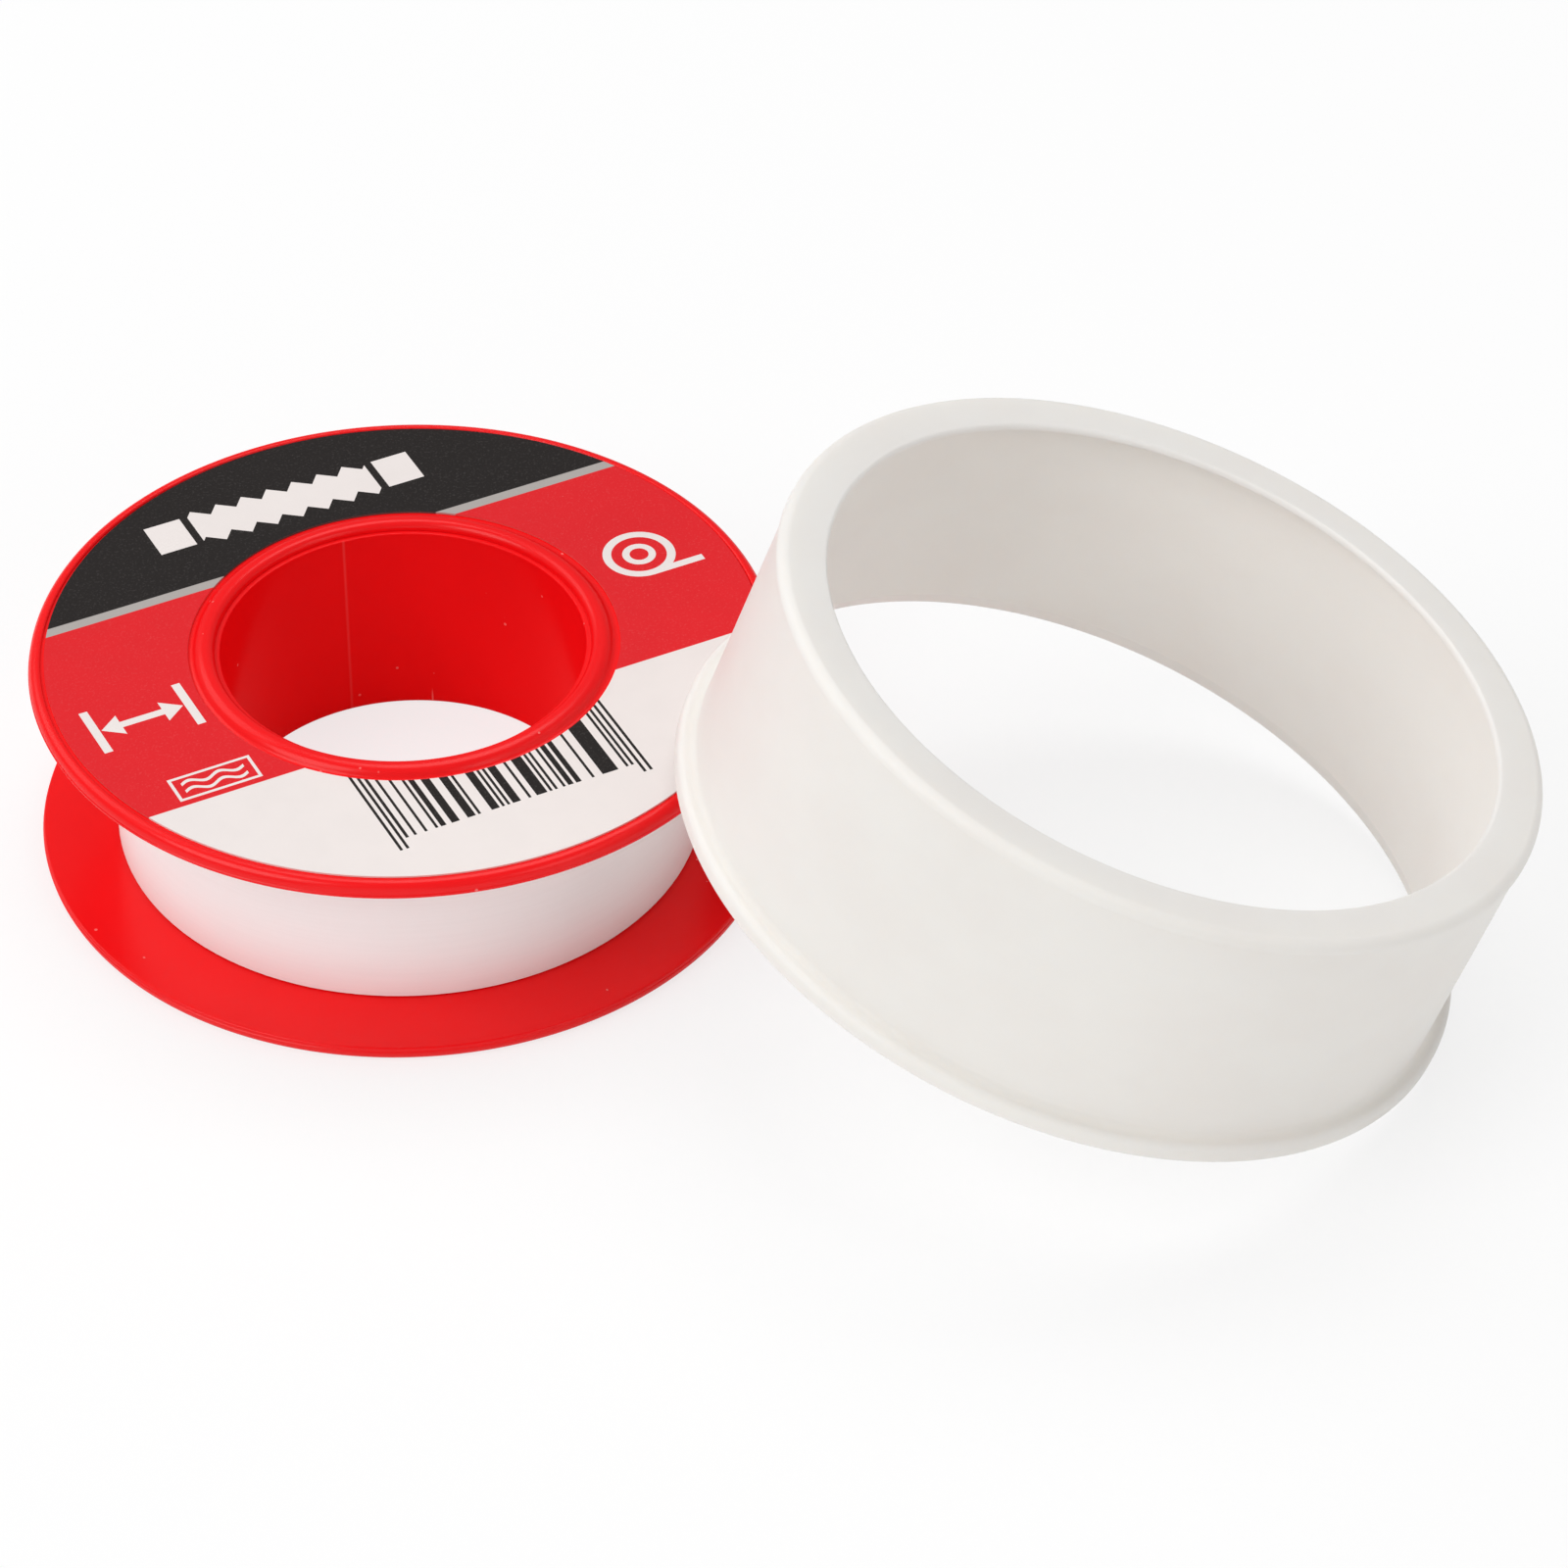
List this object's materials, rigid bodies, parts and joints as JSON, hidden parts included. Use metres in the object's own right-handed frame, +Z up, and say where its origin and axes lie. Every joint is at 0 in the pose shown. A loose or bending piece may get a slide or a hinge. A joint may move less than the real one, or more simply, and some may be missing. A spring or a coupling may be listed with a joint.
{
  "type": "thread seal tape roll",
  "caption": "Flanged spool wound with thin white thread seal tape, with a printed paper label and a loose cover ring that snaps over the flanges and leans against the spool.",
  "frame": {"origin": "on the axis of the spool's bore, at the face that the spool rests on", "axes": "+Z up along the bore, +X towards the side where the cover ring leans, +Y away from the viewer of the picture"},
  "size_m": [0.0992, 0.0684, 0.0345],
  "materials": {
    "red_plastic": "smooth moulded polypropylene, semi-gloss",
    "white_tape": "soft white film with a faint silky sheen",
    "label_print": "coated printed paper, satin",
    "white_plastic": "milky moulded polypropylene, satin"
  },
  "bodies": {
    "spool": {"spool_lower_half": "red_plastic", "spool_upper_half": "red_plastic", "tape_roll": "white_tape", "paper_label": "label_print"},
    "cover": {"cover_ring": "white_plastic"}
  },
  "joints": [
    {"name": "cover_lift", "type": "slide", "parent": "spool", "child": "cover", "axis": [0.3276, 0, 0.9448], "range_m": [0, 0.04]}
  ]
}
